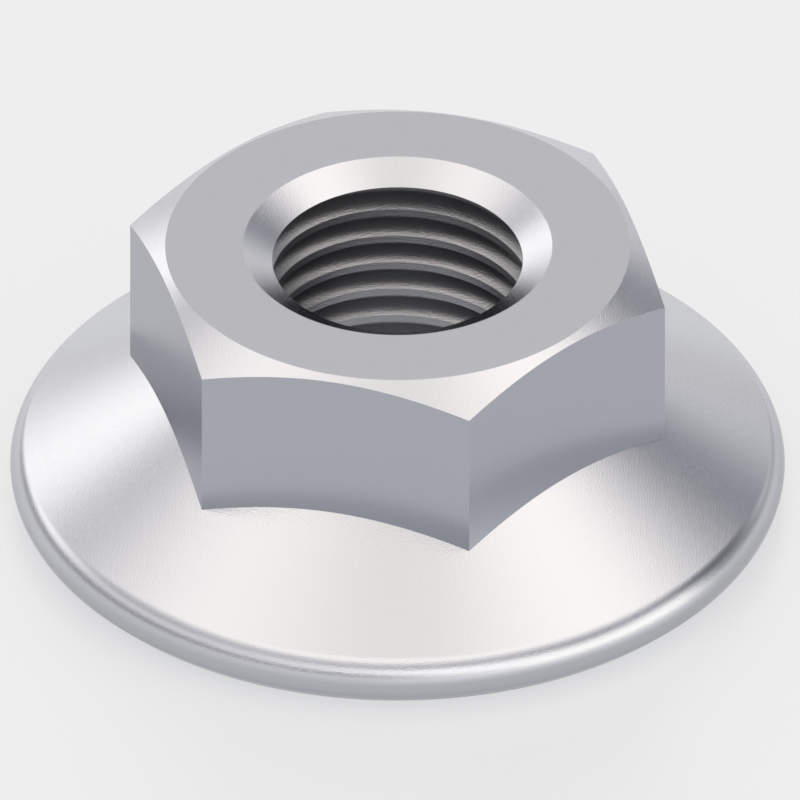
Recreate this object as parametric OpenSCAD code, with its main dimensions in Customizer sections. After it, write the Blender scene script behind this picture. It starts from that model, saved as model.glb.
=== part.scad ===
// Collar nut: a hexagon and a wide sloping collar, turned in one piece, with a
// countersunk bore. Units are millimetres, +Z is up, and the origin is the
// centre of the bearing face. Two corners of the hexagon lie along X.

/* [Hexagon] */
// Width across the flats
across_flats = 15.72; // [14.5:0.01:18]
// Height from the bearing face to the top face
nut_height = 9.68; // [8.5:0.01:14.5]
// How far the top face's edge lies inside the flats
chamfer_inset = 0.24; // [0.05:0.01:0.95]
// Angle between the chamfer on the corners and the top face
chamfer_angle = 30; // [15:1:40]

/* [Collar] */
// Diameter of the collar at its widest
collar_d = 25.4; // [22:0.1:31]
// Angle between the collar's sloping top and the bearing face
collar_angle = 30; // [15:1:38]
// Radius of the rounded rim
rim_r = 0.97; // [0.6:0.01:1.45]
// Angle between the chamfer under the rim and the bearing face
foot_angle = 45; // [20:1:70]

/* [Bore] */
// Diameter of the plain bore, at the inner edge of the countersinks
bore_d = 8.22; // [6.1:0.01:9.6]
// Diameter of the top countersink at its mouth
top_sink_d = 10.15; // [9.8:0.01:13.2]
// Diameter of the base countersink at its mouth
base_sink_d = 10.15; // [9.8:0.01:14.5]
// Included angle of both countersinks
sink_angle = 120; // [60:1:140]

/* [Hidden] */

// How far cutters and hidden ends run past the faces that they meet
lap = 1;
// The hexagon from its axis to a corner
corner_r = across_flats / 2 / cos(30);
// Edge of the flat top face
top_r = across_flats / 2 - chamfer_inset;
// Centre of the rim's round, seen in section
rim_x = collar_d / 2 - rim_r;
rim_z = rim_r;
// Where the sloping top leaves the round, at a tangent
slope_x = rim_x + rim_r * sin(collar_angle);
slope_z = rim_z + rim_r * cos(collar_angle);
// Where the slope ends, out of sight inside the hexagon
slope_in = across_flats / 2 - lap;
slope_in_z = slope_z + (slope_x - slope_in) * tan(collar_angle);
// Where the chamfer under the rim leaves the round, at a tangent
foot_x = rim_x + rim_r * sin(foot_angle);
foot_z = rim_z - rim_r * cos(foot_angle);
// Edge of the flat bearing face
face_r = rim_x + rim_r * tan(foot_angle / 2);

$fn = 96;

// The hexagon, its corners taken off above by a cone
module hexagon() {
    cone_r = corner_r + lap;
    cone_z = nut_height - (cone_r - top_r) * tan(chamfer_angle);
    intersection() {
        cylinder(h = nut_height, r = corner_r, $fn = 6);
        rotate_extrude()
            polygon([[0, 0], [cone_r, 0], [cone_r, cone_z], [top_r, nut_height], [0, nut_height]]);
    }
}

// Half section of the collar: slope, round rim and chamfered foot
module collar_section() {
    translate([rim_x, rim_z]) circle(r = rim_r);
    polygon([
        [0, 0], [face_r, 0], [foot_x, foot_z], [rim_x, rim_z],
        [slope_x, slope_z], [slope_in, slope_in_z], [0, slope_in_z]
    ]);
}

// One countersink, its mouth on the plane z = 0 and its point below
module countersink(mouth_d) {
    depth = (mouth_d / 2) / tan(sink_angle / 2);
    over = lap * tan(sink_angle / 2);
    rotate_extrude()
        polygon([[0, -depth], [mouth_d / 2 + over, lap], [0, lap]]);
}

// Everything that is cut out along the axis
module bore() {
    translate([0, 0, -lap]) cylinder(h = nut_height + 2 * lap, d = bore_d);
    translate([0, 0, nut_height]) countersink(top_sink_d);
    mirror([0, 0, 1]) countersink(base_sink_d);
}

module collar_nut() {
    color([0.74, 0.75, 0.77])
        difference() {
            union() {
                hexagon();
                rotate_extrude() collar_section();
            }
            bore();
        }
}

collar_nut();
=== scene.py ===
"""Looks of a collar nut: the threaded piece, its satin zinc finish and a pale studio.

Shapes are modelled in millimetres and set down in metres. +Z is up, the origin is
the centre of the bearing face, and two corners of the hexagon lie along X.
"""

from __future__ import annotations

import logging
import math
from dataclasses import dataclass, field
from enum import Enum
from typing import Callable

import bpy
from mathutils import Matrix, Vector

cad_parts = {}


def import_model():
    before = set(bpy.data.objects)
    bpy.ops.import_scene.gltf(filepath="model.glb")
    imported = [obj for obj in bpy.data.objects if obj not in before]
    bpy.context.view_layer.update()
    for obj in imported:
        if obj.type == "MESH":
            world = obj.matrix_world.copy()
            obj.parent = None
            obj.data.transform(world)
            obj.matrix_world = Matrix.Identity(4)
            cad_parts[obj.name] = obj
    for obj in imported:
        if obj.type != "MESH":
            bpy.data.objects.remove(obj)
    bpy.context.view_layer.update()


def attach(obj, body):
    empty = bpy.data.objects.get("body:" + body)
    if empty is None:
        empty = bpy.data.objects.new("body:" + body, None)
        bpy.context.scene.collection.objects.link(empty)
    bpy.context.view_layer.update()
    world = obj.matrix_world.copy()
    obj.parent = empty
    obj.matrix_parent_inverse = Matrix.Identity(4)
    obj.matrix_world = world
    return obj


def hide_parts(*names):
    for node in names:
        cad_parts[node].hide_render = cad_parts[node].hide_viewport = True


LOG = logging.getLogger("collar_nut")
# One millimetre, in metres
MM = 0.001
# How far cutters run past the faces that they meet, in millimetres
LAP = 1.0
# Places closer than this are one place, in millimetres
TOUCH = 1e-4
# Half of the angle that one side of the hexagon takes up, seen from the axis
HALF_SIDE = math.radians(30)

Colour = tuple[float, float, float]
Test = Callable[[list[Vector]], bool]


class Mode(Enum):
    """How a cutter or a second solid acts on a piece."""

    JOIN = "UNION"
    CUT = "DIFFERENCE"
    KEEP = "INTERSECT"


# Modelling


class Bench:
    """Small acts of hand modelling, on one active mesh at a time."""

    @staticmethod
    def clear() -> None:
        """Leave edit mode and deselect every object."""
        if bpy.context.object and bpy.context.object.mode != "OBJECT":
            bpy.ops.object.mode_set(mode="OBJECT")
        bpy.ops.object.select_all(action="DESELECT")

    @staticmethod
    def take(piece: bpy.types.Object) -> None:
        """Make one object the selected and active one."""
        Bench.clear()
        piece.select_set(True)
        bpy.context.view_layer.objects.active = piece

    @staticmethod
    def named(name: str) -> bpy.types.Object:
        """Name the active object and settle its place in its mesh.

        Args:
            name: The name of the object and of its mesh.

        Returns:
            The active object, at the origin, unturned and unscaled.
        """
        piece = bpy.context.object
        piece.name = name
        piece.data.name = name
        bpy.ops.object.transform_apply(location=True, rotation=True, scale=True)
        return piece

    @staticmethod
    def pick(piece: bpy.types.Object, kind: str, test: Test) -> None:
        """Select the vertices, edges or faces that pass a test, and go to edit mode.

        Args:
            piece: The object to select on.
            kind: "VERT", "EDGE" or "FACE".
            test: Takes the corner places of one element and says whether it is wanted.
        """
        Bench.take(piece)
        bpy.ops.object.mode_set(mode="EDIT")
        bpy.ops.mesh.select_mode(type=kind)
        bpy.ops.mesh.select_all(action="DESELECT")
        bpy.ops.object.mode_set(mode="OBJECT")
        mesh = piece.data
        parts = {"VERT": mesh.vertices, "EDGE": mesh.edges, "FACE": mesh.polygons}[kind]
        for part in parts:
            ids = [part.index] if kind == "VERT" else part.vertices
            part.select = test([mesh.vertices[i].co for i in ids])
        bpy.ops.object.mode_set(mode="EDIT")

    @staticmethod
    def all_of(corners: list[Vector]) -> bool:
        """Pass every element."""
        return True

    @staticmethod
    def level_at(height: float, beyond: float = 0.0) -> Test:
        """Make a test for elements that lie flat at one height.

        Args:
            height: The height.
            beyond: How far from the axis every corner has to be.

        Returns:
            The test.
        """
        return lambda corners: all(
            abs(at.z - height) < TOUCH and at.xy.length > beyond for at in corners
        )

    @staticmethod
    def boolean(piece: bpy.types.Object, other: bpy.types.Object, mode: Mode) -> None:
        """Join, cut or keep a piece with another solid, which is then removed.

        Args:
            piece: The piece that changes.
            other: The solid that acts on it.
            mode: What the other solid does.
        """
        Bench.take(piece)
        step = piece.modifiers.new(mode.name.lower(), "BOOLEAN")
        step.operation = mode.value
        step.object = other
        step.solver = "EXACT"
        bpy.ops.object.modifier_apply(modifier=step.name)
        bpy.data.objects.remove(other, do_unlink=True)

    @staticmethod
    def tidy(piece: bpy.types.Object, reach: float = TOUCH) -> None:
        """Merge doubled points and turn every face outwards.

        Args:
            piece: The object to tidy.
            reach: Points closer than this are one point, in millimetres.
        """
        Bench.take(piece)
        bpy.ops.object.mode_set(mode="EDIT")
        bpy.ops.mesh.select_all(action="SELECT")
        bpy.ops.mesh.remove_doubles(threshold=reach)
        bpy.ops.mesh.normals_make_consistent(inside=False)
        bpy.ops.object.mode_set(mode="OBJECT")


@dataclass
class Hexagon:
    """The hexagon, whose corners a cone takes off above."""

    across_flats: float = 15.72
    height: float = 9.68
    chamfer_inset: float = 0.24
    chamfer_angle: float = math.radians(30)
    rounds: int = 360

    @property
    def corner_r(self) -> float:
        """Radius from the axis to a corner."""
        return self.across_flats / 2 / math.cos(HALF_SIDE)

    def build(self) -> bpy.types.Object:
        """Model the chamfered hexagon.

        Returns:
            A closed solid that reaches down to the bearing face.
        """
        Bench.clear()
        bpy.ops.mesh.primitive_cylinder_add(
            vertices=6, radius=self.corner_r, depth=self.height,
            location=(0, 0, self.height / 2), rotation=(0, 0, HALF_SIDE),
        )
        prism = Bench.named("hexagon")
        top_r = self.across_flats / 2 - self.chamfer_inset
        Bench.clear()
        bpy.ops.mesh.primitive_cone_add(
            vertices=self.rounds, radius1=top_r + self.height / math.tan(self.chamfer_angle),
            radius2=top_r, depth=self.height, location=(0, 0, self.height / 2),
        )
        Bench.boolean(prism, Bench.named("chamfer_cone"), Mode.KEEP)
        return prism


@dataclass
class Collar:
    """The wide collar: a slope down to a round rim, with a chamfered foot."""

    diameter: float = 25.4
    slope: float = math.radians(30)
    rim_r: float = 0.97
    foot: float = math.radians(45)
    inner_r: float = 6.65
    rounds: int = 360
    rim_steps: int = 20
    rim_reach: float = 1e-3

    def build(self) -> bpy.types.Object:
        """Model the collar ring by ring, then round its rim.

        Returns:
            A closed solid of revolution, flat below.
        """
        widest = self.diameter / 2
        foot_turn = self.rim_r * math.tan(self.foot / 2)
        slope_turn = self.rim_r * math.tan((math.pi / 2 - self.slope) / 2)
        low = self.rim_r - foot_turn
        high = self.rim_r + slope_turn
        face_r = widest - low / math.tan(self.foot)
        top = high + (widest - self.inner_r) * math.tan(self.slope)
        Bench.clear()
        bpy.ops.mesh.primitive_cone_add(
            vertices=self.rounds, radius1=face_r, radius2=widest, depth=low,
            location=(0, 0, low / 2),
        )
        ring = Bench.named("collar")
        reached, level = widest, low
        for radius, height in ((widest, high), (self.inner_r, top)):
            Bench.pick(ring, "FACE", Bench.level_at(level))
            rise = (0, 0, height - level)
            bpy.ops.mesh.extrude_region_move(TRANSFORM_OT_translate={"value": rise})
            share = radius / reached
            bpy.ops.transform.resize(value=(share, share, 1), center_override=(0, 0, height))
            bpy.ops.object.mode_set(mode="OBJECT")
            reached, level = radius, height
        for height, turn in ((high, slope_turn), (low, foot_turn)):
            Bench.pick(ring, "EDGE", Bench.level_at(height, widest - self.rim_reach))
            bpy.ops.mesh.bevel(
                offset=turn, segments=self.rim_steps, profile=0.5, clamp_overlap=False
            )
            bpy.ops.object.mode_set(mode="OBJECT")
        Bench.tidy(ring, self.rim_reach)
        return ring


@dataclass
class Thread:
    """The bore: a right-hand thread and a countersink at each end.

    The tap ran a little to one side of the bore, so its axis lies off the nut's own,
    off_centre[0] away at the angle off_centre[1]. crest_at is one point in the middle
    of the crest, as an angle and a height.
    """

    bore_r: float = 4.11
    mouth_r: float = 5.075
    sink_half: float = math.radians(60)
    crest_r: float = 4.237
    pitch: float = 25.4 / 24
    half_angle: float = math.radians(30)
    off_centre: tuple[float, float] = (0.121, math.radians(15))
    crest_at: tuple[float, float] = (math.radians(105), 8.0075)
    lip: float = 0.012
    steps: int = 144
    rounds: int = 360

    @property
    def depth(self) -> float:
        """Depth of the groove, five eighths of the sharp triangle's height."""
        return self.pitch * math.cos(self.half_angle) * 5 / 8

    @property
    def sink_depth(self) -> float:
        """How far down a countersink reaches before it meets the bore."""
        return (self.mouth_r - self.bore_r) / math.tan(self.sink_half)

    @property
    def end(self) -> float:
        """How far from each face of the nut the thread ends."""
        return self.sink_depth + self.lip

    def tap(self, low: float, high: float) -> bpy.types.Object:
        """Model the threaded rod that cuts the thread.

        Args:
            low: Height of the rod's lower end.
            high: Height of the rod's upper end.

        Returns:
            A closed solid between both heights.
        """
        turn, level = self.crest_at
        start = level - self.pitch * turn / math.tau - self.pitch / 8
        start -= math.ceil((start - low) / self.pitch + 1) * self.pitch
        crest = self.pitch / 4
        flank = self.depth * math.tan(self.half_angle)
        root = self.pitch * 3 / 4 - 2 * flank
        runs = ((0, crest), (self.depth, flank), (0, root), (-self.depth, flank))
        Bench.clear()
        bpy.ops.mesh.primitive_plane_add(size=self.pitch, location=(self.crest_r, 0, start))
        rod = Bench.named("tap")
        Bench.pick(rod, "VERT", Bench.all_of)
        bpy.ops.mesh.merge(type="CENTER")
        for out, up in runs:
            bpy.ops.mesh.extrude_vertices_move(TRANSFORM_OT_translate={"value": (out, 0, up)})
        bpy.ops.object.mode_set(mode="OBJECT")
        wind = rod.modifiers.new("wind", "SCREW")
        wind.axis = "Z"
        wind.angle = math.tau
        wind.screw_offset = self.pitch
        wind.iterations = math.ceil((high - start) / self.pitch) + 1
        wind.steps = wind.render_steps = self.steps
        Bench.take(rod)
        bpy.ops.object.modifier_apply(modifier=wind.name)
        Bench.tidy(rod)
        for height, below in ((low, True), (high, False)):
            Bench.pick(rod, "FACE", Bench.all_of)
            bpy.ops.mesh.bisect(
                plane_co=(0, 0, height), plane_no=(0, 0, 1), use_fill=True,
                clear_inner=below, clear_outer=not below,
            )
            bpy.ops.object.mode_set(mode="OBJECT")
        Bench.tidy(rod)
        aside, way = self.off_centre
        bpy.ops.transform.translate(value=(aside * math.cos(way), aside * math.sin(way), 0))
        return Bench.named("tap")

    def drill(self, height: float) -> bpy.types.Object:
        """Model the plain rod that runs right through the nut.

        Args:
            height: Height of the nut.

        Returns:
            A closed cylinder that sticks out at both ends.
        """
        Bench.clear()
        bpy.ops.mesh.primitive_cylinder_add(
            vertices=self.rounds, radius=self.bore_r, depth=height + 2 * LAP,
            location=(0, 0, height / 2),
        )
        return Bench.named("drill")

    def countersink(self, height: float, up: bool) -> bpy.types.Object:
        """Model the cone that opens one end of the bore.

        Args:
            height: Height of the face that the countersink's mouth lies on.
            up: Whether the mouth looks up.

        Returns:
            A closed cone with its point inside the bore.
        """
        wide = self.mouth_r + LAP * math.tan(self.sink_half)
        deep = wide / math.tan(self.sink_half)
        sign = 1 if up else -1
        radii = (0, wide) if up else (wide, 0)
        Bench.clear()
        bpy.ops.mesh.primitive_cone_add(
            vertices=self.rounds, radius1=radii[0], radius2=radii[1], depth=deep,
            location=(0, 0, height + sign * (LAP - deep / 2)),
        )
        return Bench.named("countersink")


@dataclass
class CollarNut:
    """The whole nut, turned and threaded in one piece."""

    hexagon: Hexagon = field(default_factory=Hexagon)
    collar: Collar = field(default_factory=Collar)
    thread: Thread = field(default_factory=Thread)
    sharp_from: float = math.radians(18)

    def build(self) -> bpy.types.Object:
        """Model the nut and set it down in metres.

        Returns:
            One closed mesh, with round faces shaded smooth and edges sharp.
        """
        nut = self.hexagon.build()
        Bench.boolean(nut, self.collar.build(), Mode.JOIN)
        top = self.hexagon.height
        Bench.boolean(nut, self.thread.drill(top), Mode.CUT)
        for height, up in ((top, True), (0.0, False)):
            Bench.boolean(nut, self.thread.countersink(height, up), Mode.CUT)
        end = self.thread.end
        Bench.boolean(nut, self.thread.tap(end, top - end), Mode.CUT)
        Bench.tidy(nut)
        bpy.ops.transform.resize(value=(MM, MM, MM), center_override=(0, 0, 0))
        nut = Bench.named("threaded_nut")
        bpy.ops.object.shade_smooth_by_angle(angle=self.sharp_from)
        return nut


# Materials


class Net:
    """One node tree that is being wired."""

    def __init__(self, tree: bpy.types.NodeTree) -> None:
        """Start from an empty tree."""
        self.tree = tree
        tree.nodes.clear()

    def node(self, kind: str, settings: dict | None = None, **inputs: object) -> bpy.types.Node:
        """Add any node.

        Args:
            kind: The node's type name.
            settings: Its own properties, set before the inputs. "stops" fills a colour ramp.
            inputs: Values or linked sockets by input name, or by number as i0, i1.

        Returns:
            The new node.
        """
        made = self.tree.nodes.new(kind)
        for key, value in (settings or {}).items():
            if key == "stops":
                self._stops(made.color_ramp, value)
            else:
                setattr(made, key, value)
        for key, value in inputs.items():
            numbered = key[0] == "i" and key[1:].isdigit()
            socket = made.inputs[int(key[1:]) if numbered else key.replace("_", " ")]
            if isinstance(value, Sock):
                value = value.socket
            if isinstance(value, bpy.types.NodeSocket):
                self.tree.links.new(value, socket)
            else:
                socket.default_value = value
        return made

    @staticmethod
    def _stops(ramp: bpy.types.ColorRamp, stops: list[tuple[float, Colour]]) -> None:
        """Fill a colour ramp.

        Args:
            ramp: The ramp to fill.
            stops: Places and colours in rising order.
        """
        while len(ramp.elements) > 1:
            ramp.elements.remove(ramp.elements[-1])
        ramp.elements[0].position = stops[0][0]
        ramp.elements[0].color = (*stops[0][1], 1)
        for place, colour in stops[1:]:
            ramp.elements.new(place).color = (*colour, 1)

    def out(
        self, kind: str, output: int | str = 0, settings: dict | None = None, **inputs: object
    ) -> Sock:
        """Add any node and take one of its outputs.

        Args:
            kind: The node's type name.
            output: The output's number or name.
            settings: Its own properties.
            inputs: Values or linked sockets.

        Returns:
            The output, ready for arithmetic.
        """
        return Sock(self, self.node(kind, settings, **inputs).outputs[output])

    def mixed(self, first: object, second: object, share: object) -> Sock:
        """Mix two colours.

        Args:
            first: A socket or RGBA numbers.
            second: A socket or RGBA numbers.
            share: The second colour's share, from 0 to 1.

        Returns:
            The mixed colour.
        """
        settings = {"data_type": "RGBA", "blend_type": "MIX"}
        return self.out("ShaderNodeMix", 2, settings, i0=share, i6=first, i7=second)


class Sock:
    """A socket that takes part in arithmetic."""

    def __init__(self, net: Net, socket: bpy.types.NodeSocket) -> None:
        """Wrap one output."""
        self.net = net
        self.socket = socket

    def _math(self, operation: str, *values: object) -> Sock:
        """Add a Math node."""
        inputs = {f"i{i}": v for i, v in enumerate(values)}
        return self.net.out("ShaderNodeMath", 0, {"operation": operation}, **inputs)

    def __add__(self, other: object) -> Sock:
        """Sum."""
        return self._math("ADD", self, other)

    def __radd__(self, other: object) -> Sock:
        """Sum, reflected."""
        return self._math("ADD", other, self)

    def __sub__(self, other: object) -> Sock:
        """Difference."""
        return self._math("SUBTRACT", self, other)

    def __rsub__(self, other: object) -> Sock:
        """Difference, reflected."""
        return self._math("SUBTRACT", other, self)

    def __mul__(self, other: object) -> Sock:
        """Product."""
        return self._math("MULTIPLY", self, other)

    def __rmul__(self, other: object) -> Sock:
        """Product, reflected."""
        return self._math("MULTIPLY", other, self)

    def __truediv__(self, other: object) -> Sock:
        """Quotient."""
        return self._math("DIVIDE", self, other)

    def func(self, operation: str, *others: object) -> Sock:
        """Any other Math operation on this value."""
        return self._math(operation, self, *others)

    def step(self, low: float, high: float) -> Sock:
        """A smooth step from 0 at low to 1 at high.

        Args:
            low: The value at which the step starts.
            high: The value at which it ends.

        Returns:
            The step, clamped to 0 and 1.
        """
        settings = {"interpolation_type": "SMOOTHSTEP", "clamp": True}
        return self.net.out(
            "ShaderNodeMapRange", 0, settings, i0=self, i1=low, i2=high, i3=0.0, i4=1.0
        )


@dataclass(frozen=True)
class SatinZinc:
    """Satin zinc on steel: finely grained where turned, smoother flats, and a thread darkened
    with painted shade of the bore.

    Lengths are in millimetres. grain is the size of one grain, and the grain of the
    flats and of the thread is given as a share of grain_height. reach is how far from
    a surface its own finish starts.
    """

    nut: CollarNut
    colour: Colour = (0.485, 0.50, 0.535)
    edge: Colour = (0.82, 0.82, 0.83)
    tone_spread: float = 0.01
    roughness: float = 0.09
    roughness_spread: float = 0.03
    grain: float = 0.051
    grain_height: float = 0.0062
    # The hexagon's sides are set a shade darker than the turned faces.
    side_colour: Colour = (0.434, 0.45, 0.495)
    flat_roughness: float = 0.16
    flat_grain: float = 0.35
    # The tapped wall's colour is darkened as painted shade of the bore; its roughness and grain
    # are its own.
    tapped_colour_with_shade: Colour = (0.37, 0.375, 0.395)
    tapped_tone_spread: float = 0.1
    tapped_roughness: float = 0.215
    tapped_grain: float = 1.45
    tapped_metal: float = 0.96
    reach: float = 0.004

    def places(self, net: Net, place: Sock) -> tuple[Sock, Sock, Sock]:
        """Find the hexagon's sides, its flat top and the tapped wall of the bore.

        Args:
            net: The tree that is being wired.
            place: Object coordinates.

        Returns:
            Three values, each 1 on its own surface and 0 everywhere else.
        """
        hexagon, thread = self.nut.hexagon, self.nut.thread
        parts = net.node("ShaderNodeSeparateXYZ", None, i0=place)
        x, y, z = (Sock(net, parts.outputs[i]) for i in range(3))
        turned_x, turned_y = x * math.cos(HALF_SIDE), y * math.sin(HALF_SIDE)
        across = y.func("ABSOLUTE")
        for way in (turned_x + turned_y, turned_x - turned_y):
            across = across.func("MAXIMUM", way.func("ABSOLUTE"))
        sides = across.func("COMPARE", hexagon.across_flats / 2 * MM, self.reach * MM)
        top = z.func("COMPARE", hexagon.height * MM, self.reach * MM)
        end = thread.end - self.reach
        inside = (x * x + y * y).func("LESS_THAN", (thread.mouth_r * MM) ** 2)
        over = z.func("GREATER_THAN", end * MM)
        under = z.func("LESS_THAN", (hexagon.height - end) * MM)
        return sides, top, inside * over * under

    @staticmethod
    def tone(net: Net, colour: Colour, spread: float, pattern: Sock) -> Sock:
        """Vary a colour a little.

        Args:
            net: The tree that is being wired.
            colour: The colour in the middle.
            spread: The share by which it gets darker and lighter.
            pattern: Where it does so, from 0 to 1.

        Returns:
            The varied colour.
        """
        dark, light = (tuple(c * share for c in colour) for share in (1 - spread, 1 + spread))
        return net.mixed((*dark, 1), (*light, 1), pattern)

    def make(self) -> bpy.types.Material:
        """Wire the material.

        Returns:
            The finished material.
        """
        material = bpy.data.materials.new("satin_zinc")
        material.use_nodes = True
        net = Net(material.node_tree)
        place = net.out("ShaderNodeTexCoord", "Object")
        sides, top, tapped = self.places(net, place)
        flat = sides.func("MAXIMUM", top)
        fine = net.out(
            "ShaderNodeTexNoise", 0, Vector=place, Scale=1 / (self.grain * MM), Detail=2.0,
            Roughness=0.55,
        )
        turned = self.tone(net, self.colour, self.tone_spread, fine)
        side = self.tone(net, self.side_colour, self.tone_spread, fine)
        # The tapped wall's darker colour is painted shade of the bore.
        threaded = self.tone(net, self.tapped_colour_with_shade, self.tapped_tone_spread, fine)
        rough = self.roughness + self.roughness_spread * (fine - 0.5)
        rough = rough + (self.flat_roughness - self.roughness) * flat
        rough = rough + (self.tapped_roughness - self.roughness) * tapped
        height = fine * (1 + (self.flat_grain - 1) * flat + (self.tapped_grain - 1) * tapped)
        bump = net.out(
            "ShaderNodeBump", 0, None, Strength=1.0, Distance=self.grain_height * MM,
            Height=height,
        )
        metal = net.node(
            "ShaderNodeBsdfPrincipled", None,
            Base_Color=net.mixed(net.mixed(turned, side, sides), threaded, tapped),
            Metallic=1 - (1 - self.tapped_metal) * tapped, Roughness=rough,
            Specular_Tint=(*self.edge, 1), Normal=bump,
        )
        net.node("ShaderNodeOutputMaterial", None, Surface=metal.outputs[0])
        return material


@dataclass(frozen=True)
class PaleFloor:
    """The plain pale floor of the studio, with a soft sheen.

    A share of it shines by itself where the camera or a reflection sees it, so the
    shadow of the object on it is a light one.
    """

    colour: Colour = (0.525, 0.555, 0.60)
    glow: Colour = (0.80, 0.80, 0.804)
    share: float = 0.75
    roughness: float = 0.3

    def make(self) -> bpy.types.Material:
        """Wire the material.

        Returns:
            The finished material.
        """
        material = bpy.data.materials.new("pale_floor")
        material.use_nodes = True
        net = Net(material.node_tree)
        ray = net.node("ShaderNodeLightPath")
        seen = Sock(net, ray.outputs["Is Camera Ray"])
        for name in ("Is Glossy Ray", "Is Transmission Ray"):
            seen = seen.func("MAXIMUM", Sock(net, ray.outputs[name]))
        rest = tuple(c * (1 - self.share) for c in self.colour)
        glow = tuple(c * self.share for c in self.glow)
        satin = net.node(
            "ShaderNodeBsdfPrincipled", None,
            Base_Color=net.mixed((*self.colour, 1), (*rest, 1), seen),
            Roughness=self.roughness,
            Emission_Color=net.mixed((0, 0, 0, 1), (*glow, 1), seen), Emission_Strength=1.0,
        )
        net.node("ShaderNodeOutputMaterial", None, Surface=satin.outputs[0])
        return material


# Studio


@dataclass(frozen=True)
class Panel:
    """A soft panel or a dark flag round the object, as it is seen from there.

    Angles are in degrees. turn counts to the right of the camera's own side, seen
    from the object, so 90 lies to the camera's right and 180 behind the object.
    """

    turn: float
    height: float
    half_turn: float
    half_height: float
    soft_turn: float
    soft_height: float
    light: Colour


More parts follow.
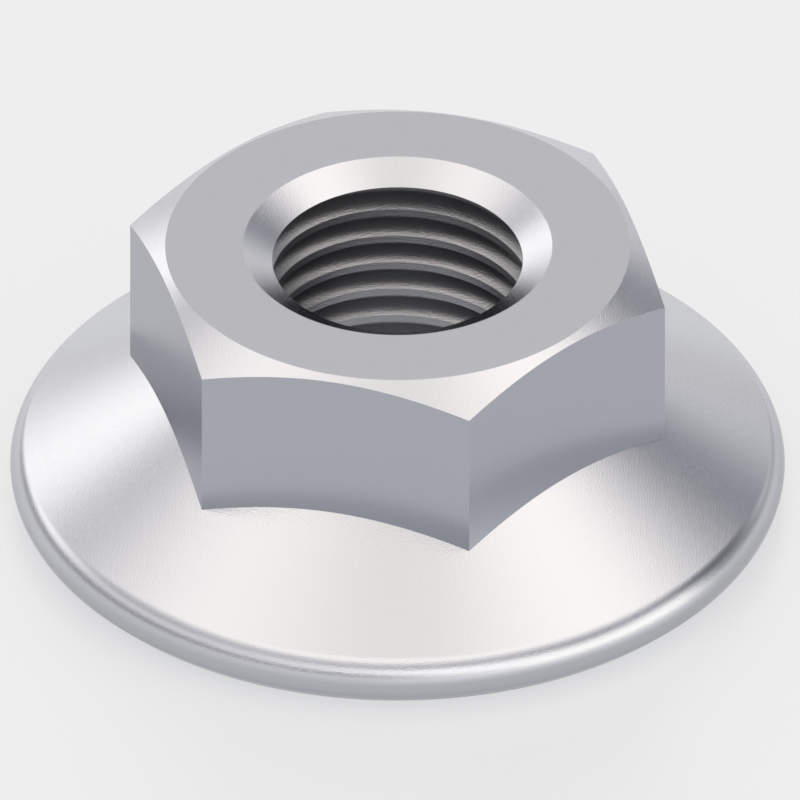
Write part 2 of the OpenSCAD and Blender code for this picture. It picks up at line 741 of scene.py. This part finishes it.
@dataclass
class Studio:
    """The floor, the soft light round the object and the camera.

    frame_width and both aims are in millimetres, the floor and the camera's distances
    in metres. dome gives the light at rising heights, in degrees.
    """

    azimuth: float = math.radians(15)
    elevation: float = math.asin(1 / math.sqrt(3))
    frame_width: float = 26.228
    aim_right: float = 0.080
    aim_height: float = 3.486
    camera_away: float = 0.25
    clips: tuple[float, float] = (0.001, 10.0)
    floor_size: float = 1.6
    floor_gap: float = 0.00001
    dome: tuple[tuple[float, Colour], ...] = (
        (0, (1.04, 1.02, 0.98)), (8, (0.57, 0.56, 0.60)), (16, (1.055, 1.04, 1.02)),
        (24, (0.585, 0.587, 0.62)), (32, (0.343, 0.359, 0.385)), (40, (1.02, 0.98, 0.963)),
        (48, (1.237, 1.179, 1.135)), (56, (1.81, 1.73, 1.61)), (64, (1.88, 1.75, 1.63)),
        (72, (1.748, 1.63, 1.515)), (90, (1.353, 1.313, 1.20)),
    )
    panels: tuple[Panel, ...] = (
        # Large low panel on the camera's right
        Panel(61, 4, 30, 20, 20, 30, (2.01, 1.94, 1.80)),
        # Wide panel on the camera's own side
        Panel(-7, 17.3, 41, 14, 49, 15, (2.03, 1.96, 1.86)),
        # Dim panel on the left, and a dark flag under it
        Panel(-73, 23, 52, 8.5, 79, 19.5, (1.22, 1.18, 1.18)),
        Panel(-69.5, 8.3, 75.5, 4.5, 45, 12, (0.52, 0.51, 0.53)),
        # Panel behind on the left
        Panel(-139.5, 23.7, 22, 7.8, 43.5, 18, (2.03, 1.97, 1.87)),
        # Narrow dark flag on the right, and a high panel over it
        Panel(110, 24, 9, 13, 21.5, 26, (0.26, 0.27, 0.29)),
        Panel(111.5, 60.3, 39.5, 10.7, 63, 22, (1.98, 1.85, 1.73)),
        # Panel straight behind, and a small high one on its left
        Panel(-175, 18.8, 14, 10.5, 52, 21.8, (2.19, 2.11, 2.00)),
        Panel(-129, 55.5, 10, 8.5, 26.5, 18, (1.77, 1.66, 1.57)),
    )

    def towards_camera(self) -> Vector:
        """Unit vector from the object to the camera."""
        turn, flat = self.azimuth, math.cos(self.elevation)
        return Vector((flat * math.sin(turn), -flat * math.cos(turn), math.sin(self.elevation)))

    def camera(self) -> bpy.types.Object:
        """Set the camera at the photograph's angle.

        Returns:
            The camera, made the scene's own.
        """
        data = bpy.data.cameras.new("view")
        data.type = "ORTHO"
        data.ortho_scale = self.frame_width * MM
        data.clip_start, data.clip_end = self.clips
        eye = bpy.data.objects.new("view", data)
        bpy.context.collection.objects.link(eye)
        right = Vector((math.cos(self.azimuth), math.sin(self.azimuth), 0))
        aim = (right * self.aim_right + Vector((0, 0, self.aim_height))) * MM
        back = self.towards_camera()
        eye.location = aim + back * self.camera_away
        eye.rotation_euler = back.to_track_quat("Z", "Y").to_euler()
        bpy.context.scene.camera = eye
        return eye

    def floor(self) -> bpy.types.Object:
        """Lay the floor just under the bearing face.

        Returns:
            The floor.
        """
        Bench.clear()
        bpy.ops.mesh.primitive_plane_add(
            size=self.floor_size, location=(0, 0, -self.floor_gap)
        )
        ground = Bench.named("floor")
        ground.data.materials.append(PaleFloor().make())
        return ground

    def world(self) -> bpy.types.World:
        """Wire the soft light round the object.

        Returns:
            The world, made the scene's own.
        """
        world = bpy.data.worlds.new("studio")
        world.use_nodes = True
        bpy.context.scene.world = world
        net = Net(world.node_tree)
        way = net.out("ShaderNodeTexCoord", "Generated")
        parts = net.node("ShaderNodeSeparateXYZ", None, i0=way)
        x, y, z = (Sock(net, parts.outputs[i]) for i in range(3))
        lift = z.func("ARCSINE") * (180 / math.pi)
        flat = (x * x + y * y).func("SQRT").func("MAXIMUM", 1e-4)
        # A ramp's colours end at 1, so they are halved here and doubled after it
        stops = [(at / 90, tuple(c / 2 for c in colour)) for at, colour in self.dome]
        light = net.out("ShaderNodeValToRGB", 0, {"stops": stops}, Fac=lift / 90)
        light = net.out("ShaderNodeVectorMath", 0, {"operation": "SCALE"}, i0=light, Scale=2.0)
        for panel in self.panels:
            centre = self.azimuth - math.pi / 2 + math.radians(panel.turn)
            facing = (x * math.cos(centre) + y * math.sin(centre)) / flat
            outer = min(panel.half_turn + panel.soft_turn / 2, 180)
            inner = max(panel.half_turn - panel.soft_turn / 2, 0)
            across = facing.step(math.cos(math.radians(outer)), math.cos(math.radians(inner)))
            off = (lift - panel.height).func("ABSOLUTE")
            outer = panel.half_height + panel.soft_height / 2
            inner = max(panel.half_height - panel.soft_height / 2, 0)
            upright = 1 - off.step(inner, outer)
            light = net.mixed(light, (*panel.light, 1), across * upright)
        shine = net.node("ShaderNodeBackground", None, Color=light, Strength=1.0)
        net.node("ShaderNodeOutputWorld", None, Surface=shine.outputs[0])
        return world


def main() -> None:
    """Build the nut, dress it, and set the studio round it."""
    logging.basicConfig(level=logging.INFO, format="%(name)s: %(message)s")
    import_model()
    bpy.context.scene.view_settings.view_transform = "Standard"
    studio = Studio()
    studio.camera()
    studio.world()
    studio.floor()
    design = CollarNut()
    nut = design.build()
    nut.data.materials.clear()
    nut.data.materials.append(SatinZinc(design).make())
    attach(nut, "root")
    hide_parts("collar_nut")
    LOG.info("%s: %d points, %d faces", nut.name, len(nut.data.vertices), len(nut.data.polygons))


if __name__ == "__main__":
    main()
